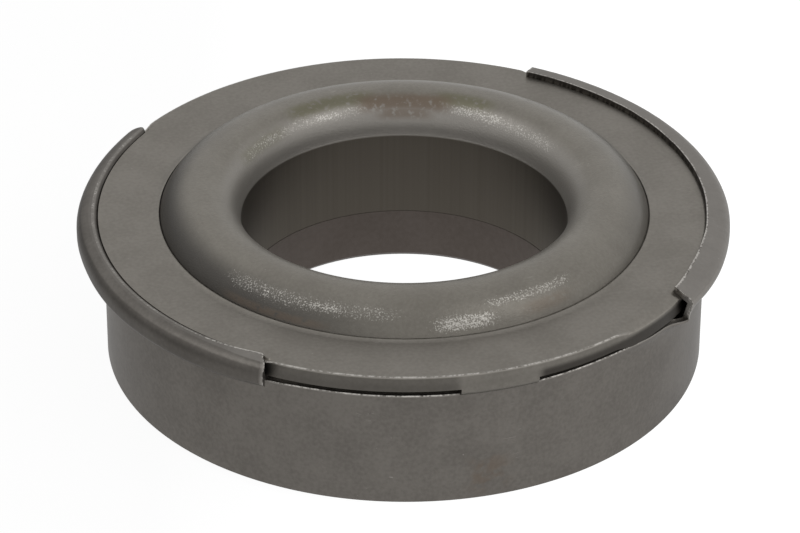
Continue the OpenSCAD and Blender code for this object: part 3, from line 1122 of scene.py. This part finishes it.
def seal_rubber():
    """The grease seal."""
    material, tree, shader, ring = begin("seal_rubber")
    grain = use(tree, STEEL_GRAIN, Place=ring["Place"], Size=0.7)
    fill(tree, shader, {
        "Base Color": mix(tree, grain["Tone"], *SEAL_TONES),
        "Roughness": maths(tree, "ADD", 0.5, scaled(tree, grain["Tone"], 0.2)),
        "Normal": bump(tree, grain["Height"], 0.015),
    })
    return material


def ball_steel():
    """The polished balls."""
    material, tree, shader, ring = begin("ball_steel")
    grain = use(tree, STEEL_GRAIN, Place=ring["Place"], Size=0.9)
    fill(tree, shader, {
        "Base Color": mix(tree, grain["Tone"], *BALL_TONES), "Metallic": 1.0,
        "Roughness": maths(tree, "ADD", 0.08, scaled(tree, grain["Tone"], 0.05)),
    })
    return material


def dress(piece, material):
    """Give a piece this material alone."""
    piece.data.materials.clear()
    piece.data.materials.append(material)


dress(housing, phosphated_sheet())
dress(plate, phosphated_plate())
dress(nose, forged_nose())
dress(race, turned_race())
dress(frame["nodes"]["ball_cage"], moulded_polyamide())
dress(frame["nodes"]["grease_seal"], seal_rubber())
polished = ball_steel()
for name, cad_node in frame["nodes"].items():
    if name.startswith("ball_") and name != "ball_cage":
        dress(cad_node, polished)


# Camera, as the photograph was taken
LENS_MM = 180
SENSOR_MM = 36
IMAGE_W = 800
IMAGE_H = 533
FOCAL_PX = LENS_MM / SENSOR_MM * IMAGE_W
CAMERA_DISTANCE = 624.5 * MM
CAMERA_AZIMUTH = math.radians(-17.2)
CAMERA_ELEVATION = math.radians(32.48)
CAMERA_ROLL = math.radians(0.26)
# Where the middle of the skirt's foot lies in the picture, in pixels
FOOT_PIXEL = (404.0, 333.2)


def photo_camera():
    """A long lens, turned so that the skirt's foot lies where the photograph shows it."""
    foot = Vector((0, 0, FOOT_Z * MM))
    back = Vector((math.sin(CAMERA_AZIMUTH) * math.cos(CAMERA_ELEVATION),
                   -math.cos(CAMERA_AZIMUTH) * math.cos(CAMERA_ELEVATION), math.sin(CAMERA_ELEVATION)))
    facing = (-back).to_track_quat("-Z", "Y").to_matrix()
    per_pixel = CAMERA_DISTANCE / FOCAL_PX
    aim = foot + facing @ Vector(((IMAGE_W / 2 - FOOT_PIXEL[0]) * per_pixel,
                                  (FOOT_PIXEL[1] - IMAGE_H / 2) * per_pixel, 0))
    place = foot + back * CAMERA_DISTANCE
    data = bpy.data.cameras.new("photo_camera")
    data.lens = LENS_MM
    data.sensor_width = SENSOR_MM
    data.clip_start = 0.05
    data.clip_end = 20
    camera = bpy.data.objects.new("photo_camera", data)
    bpy.context.scene.collection.objects.link(camera)
    turned = (aim - place).to_track_quat("-Z", "Y").to_matrix() @ Matrix.Rotation(CAMERA_ROLL, 3, "Z")
    camera.matrix_world = Matrix.Translation(place) @ turned.to_4x4()
    bpy.context.scene.camera = camera


photo_camera()

# Stage and light; places in the studio are given as seen from the camera: right, away from it, up
VIEW_RIGHT = Vector((math.cos(CAMERA_AZIMUTH), math.sin(CAMERA_AZIMUTH), 0))
VIEW_AWAY = Vector((-math.sin(CAMERA_AZIMUTH), math.cos(CAMERA_AZIMUTH), 0))


def studio_place(right, away, up):
    return VIEW_RIGHT * right + VIEW_AWAY * away + Vector((0, 0, up))


FLOOR_REACH = 3.0
SOFTBOX_SIZE = (0.36, 0.56)


def studio_floor():
    """White paper that shows as white, with the bearing's shadow; in reflections it glows more towards the
    right, a painted reflection.
    """
    data = bpy.data.meshes.new("studio_floor")
    corners = ((-1, -1, 0), (1, -1, 0), (1, 1, 0), (-1, 1, 0))
    data.from_pydata([Vector(corner) * FLOOR_REACH for corner in corners], [], [(0, 1, 2, 3)])
    floor = bpy.data.objects.new("studio_floor", data)
    bpy.context.scene.collection.objects.link(floor)
    material = bpy.data.materials.new("white_paper")
    material.use_nodes = True
    tree = material.node_tree
    tree.nodes.clear()
    out = tree.nodes.new("ShaderNodeOutputMaterial")
    paper = add(tree, "BsdfDiffuse", {"Color": (0.86, 0.86, 0.86, 1)})
    path = add(tree, "LightPath").outputs
    place = add(tree, "TexCoord").outputs["Object"]
    across = vectors(tree, "DOT_PRODUCT", place, VIEW_RIGHT)
    uneven = slope(tree, across, -0.4, 0.3, 0.3, 1.65)
    strength = maths(tree, "MAXIMUM", path["Is Camera Ray"], uneven)
    glow = add(tree, "Emission", {"Color": (1, 1, 1, 1), "Strength": strength})
    seen = maths(tree, "MAXIMUM", path["Is Camera Ray"], path["Is Glossy Ray"])
    both = add(tree, "MixShader", {0: scaled(tree, seen, 0.94), 1: paper.outputs[0], 2: glow.outputs[0]})
    tree.links.new(both.outputs[0], out.inputs["Surface"])
    data.materials.append(material)


def softbox(name, place, watts):
    """A soft lamp that faces the bearing."""
    data = bpy.data.lights.new(name, "AREA")
    data.shape = "RECTANGLE"
    data.size, data.size_y = SOFTBOX_SIZE
    data.energy = watts
    light = bpy.data.objects.new(name, data)
    light.location = place
    light.rotation_euler = (-place).to_track_quat("-Z", "Y").to_euler()
    bpy.context.scene.collection.objects.link(light)


def studio_world():
    """A pale room, brightest a third of the way up, and dark near the horizon at the back left."""
    world = bpy.data.worlds.new("studio")
    bpy.context.scene.world = world
    world.use_nodes = True
    tree = world.node_tree
    towards = add(tree, "TexCoord").outputs["Generated"]
    up = add(tree, "SeparateXYZ", {0: towards}).outputs["Z"]
    sky = add(tree, "ValToRGB", {0: up})
    stops = sky.color_ramp.elements
    stops[0].color = (0.82, 0.82, 0.82, 1)
    stops[1].color = (0.74, 0.74, 0.74, 1)
    stops.new(0.38).color = (0.98, 0.98, 0.98, 1)
    stops.new(0.7).color = (0.87, 0.87, 0.87, 1)
    side = vectors(tree, "DOT_PRODUCT", towards, studio_place(-0.9, 0.45, 0))
    shade = scaled(tree, ramp(tree, side, 0.35, 0.8), slope(tree, up, 0.0, 0.34, 0.68, 0.0))
    gain = maths(tree, "SUBTRACT", 1.0, shade)
    fill(tree, tree.nodes["Background"], {"Color": sky.outputs[0], "Strength": gain})


studio_floor()
softbox("left_softbox", studio_place(-0.5, -0.08, 0.74), 0.8)
softbox("right_softbox", studio_place(0.55, -0.26, 0.74), 1.1)
studio_world()
bpy.context.scene.view_settings.view_transform = "Standard"
